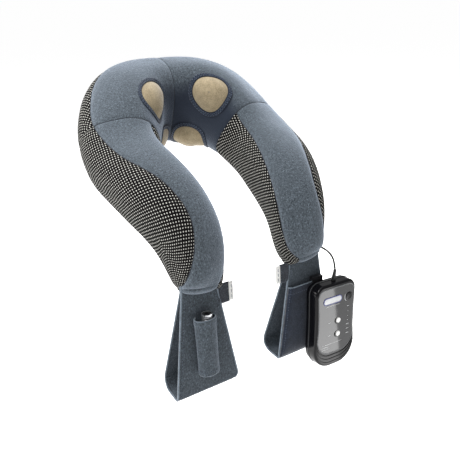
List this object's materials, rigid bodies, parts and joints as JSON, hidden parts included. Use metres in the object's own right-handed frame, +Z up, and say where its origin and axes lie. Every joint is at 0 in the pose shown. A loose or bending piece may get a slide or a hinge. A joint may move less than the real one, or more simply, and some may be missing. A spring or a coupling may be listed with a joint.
{
  "type": "shiatsu neck massager",
  "caption": "U-shaped padded neck and shoulder massager with motor-driven kneading heads behind fabric windows, hanging hand straps and a wired remote.",
  "frame": {"origin": "centre of the neck space, level with the kneading heads, in the collar's mirror plane", "axes": "+Z up as worn, the collar opens towards -Y where the arms reach forwards, +X is the side with the remote"},
  "size_m": [0.3094, 0.3571, 0.4076],
  "materials": {
    "knit_fabric": "heathered blue-grey knit, soft sheen",
    "dotted_mesh": "black spacer mesh with pale dots",
    "navy_fabric": "dense dark navy cloth",
    "tan_stretch_fabric": "fine tan stretch fabric",
    "strap_fabric": "grey knit webbing",
    "dark_webbing": "dark grey webbing",
    "label_fabric": "white woven label",
    "polished_metal": "polished, ribbed",
    "socket_plastic": "matt black",
    "remote_gloss": "glossy black",
    "silver_trim": "satin silver",
    "faceplate_grey": "glossy dark grey",
    "button_white": "white, softly glossy",
    "clip_plastic": "matt black",
    "cord_rubber": "satin black",
    "board": "green circuit board",
    "nylon": "off-white nylon",
    "head_plastic": "warm beige",
    "steel": "turned steel",
    "bronze": "sintered bronze"
  },
  "bodies": {
    "collar": {"back_pad": "knit_fabric", "left_arm_pad": "dotted_mesh", "left_gear_case": "nylon", "left_motor_can": "steel", "left_motor_end_cap": "clip_plastic", "left_upper_drum_cover": "nylon", "left_upper_window_fabric": "tan_stretch_fabric", "left_upper_window_ring": "navy_fabric", "left_lower_drum_cover": "nylon", "left_lower_window_fabric": "tan_stretch_fabric", "left_lower_window_ring": "navy_fabric", "right_arm_pad": "dotted_mesh", "right_gear_case": "nylon", "right_motor_can": "steel", "right_motor_end_cap": "clip_plastic", "right_upper_drum_cover": "nylon", "right_upper_window_fabric": "tan_stretch_fabric", "right_upper_window_ring": "navy_fabric", "right_lower_drum_cover": "nylon", "right_lower_window_fabric": "tan_stretch_fabric", "right_lower_window_ring": "navy_fabric", "head_bushes": "bronze", "cover_screws": "steel", "control_board": "board", "cord_grommet": "cord_rubber", "remote_cord": "cord_rubber"},
    "left_rotor": {"left_worm_rotor": "steel"},
    "left_upper_head": {"left_upper_worm_wheel": "nylon", "left_upper_head_shaft": "steel", "left_upper_massage_head": "head_plastic"},
    "left_lower_head": {"left_lower_worm_wheel": "nylon", "left_lower_head_shaft": "steel", "left_lower_massage_head": "head_plastic"},
    "right_rotor": {"right_worm_rotor": "steel"},
    "right_upper_head": {"right_upper_worm_wheel": "nylon", "right_upper_head_shaft": "steel", "right_upper_massage_head": "head_plastic"},
    "right_lower_head": {"right_lower_worm_wheel": "nylon", "right_lower_head_shaft": "steel", "right_lower_massage_head": "head_plastic"},
    "left_hand_strap": {"left_strap": "strap_fabric", "left_tab": "dark_webbing", "left_tab_label": "label_fabric", "jack_sleeve": "strap_fabric", "power_jack_shell": "polished_metal", "power_jack_socket": "socket_plastic"},
    "right_hand_strap": {"right_strap": "strap_fabric", "right_tab": "dark_webbing", "right_tab_label": "label_fabric", "strap_pocket": "navy_fabric", "belt_clip": "clip_plastic", "remote_rear_shell": "remote_gloss", "remote_trim": "silver_trim", "remote_front_shell": "remote_gloss", "remote_faceplate": "faceplate_grey", "remote_board": "board", "strain_relief": "cord_rubber"},
    "power_key": {"power_button": "button_white"},
    "mode_key": {"mode_button": "button_white"}
  },
  "joints": [
    {"name": "left_worm_spin", "type": "hinge", "parent": "collar", "child": "left_rotor", "pos_m": [-0.0385, 0.0387, 0.0048], "axis": [-0.7084, -0.6841, -0.1736], "continuous": true},
    {"name": "left_upper_head_spin", "type": "hinge", "parent": "collar", "child": "left_upper_head", "pos_m": [-0.06608, 0.02491, 0.02538], "axis": [0.61, -0.7172, 0.3368], "continuous": true},
    {"name": "left_lower_head_spin", "type": "hinge", "parent": "collar", "child": "left_lower_head", "pos_m": [-0.04791, 0.05114, -0.01733], "axis": [0.6407, -0.5201, -0.5649], "continuous": true},
    {"name": "right_worm_spin", "type": "hinge", "parent": "collar", "child": "right_rotor", "pos_m": [0.0385, 0.0387, 0.0048], "axis": [0.7084, -0.6841, -0.1736], "continuous": true},
    {"name": "right_upper_head_spin", "type": "hinge", "parent": "collar", "child": "right_upper_head", "pos_m": [0.06608, 0.02491, 0.02538], "axis": [-0.61, -0.7172, 0.3368], "continuous": true},
    {"name": "right_lower_head_spin", "type": "hinge", "parent": "collar", "child": "right_lower_head", "pos_m": [0.04791, 0.05114, -0.01733], "axis": [-0.6407, -0.5201, -0.5649], "continuous": true},
    {"name": "left_strap_swing", "type": "hinge", "parent": "collar", "child": "left_hand_strap", "pos_m": [-0.0835, -0.1815, -0.158], "axis": [1, 0, 0], "range_deg": [-25, 30]},
    {"name": "right_strap_swing", "type": "hinge", "parent": "collar", "child": "right_hand_strap", "pos_m": [0.0835, -0.1815, -0.158], "axis": [1, 0, 0], "range_deg": [-25, 30], "deforming": ["remote_cord"]},
    {"name": "power_button_press", "type": "slide", "parent": "right_hand_strap", "child": "power_key", "axis": [0, 0.9941, -0.1089], "range_m": [0, 0.0008], "stiffness_N_per_m": 900},
    {"name": "mode_button_press", "type": "slide", "parent": "right_hand_strap", "child": "mode_key", "axis": [0, 0.9941, -0.1089], "range_m": [0, 0.0008], "stiffness_N_per_m": 900}
  ],
  "couplings": [
    {"joint": "left_upper_head_spin", "follows": "left_worm_spin", "ratio": -0.022727},
    {"joint": "left_lower_head_spin", "follows": "left_worm_spin", "ratio": 0.022727},
    {"joint": "right_upper_head_spin", "follows": "right_worm_spin", "ratio": -0.022727},
    {"joint": "right_lower_head_spin", "follows": "right_worm_spin", "ratio": 0.022727}
  ]
}
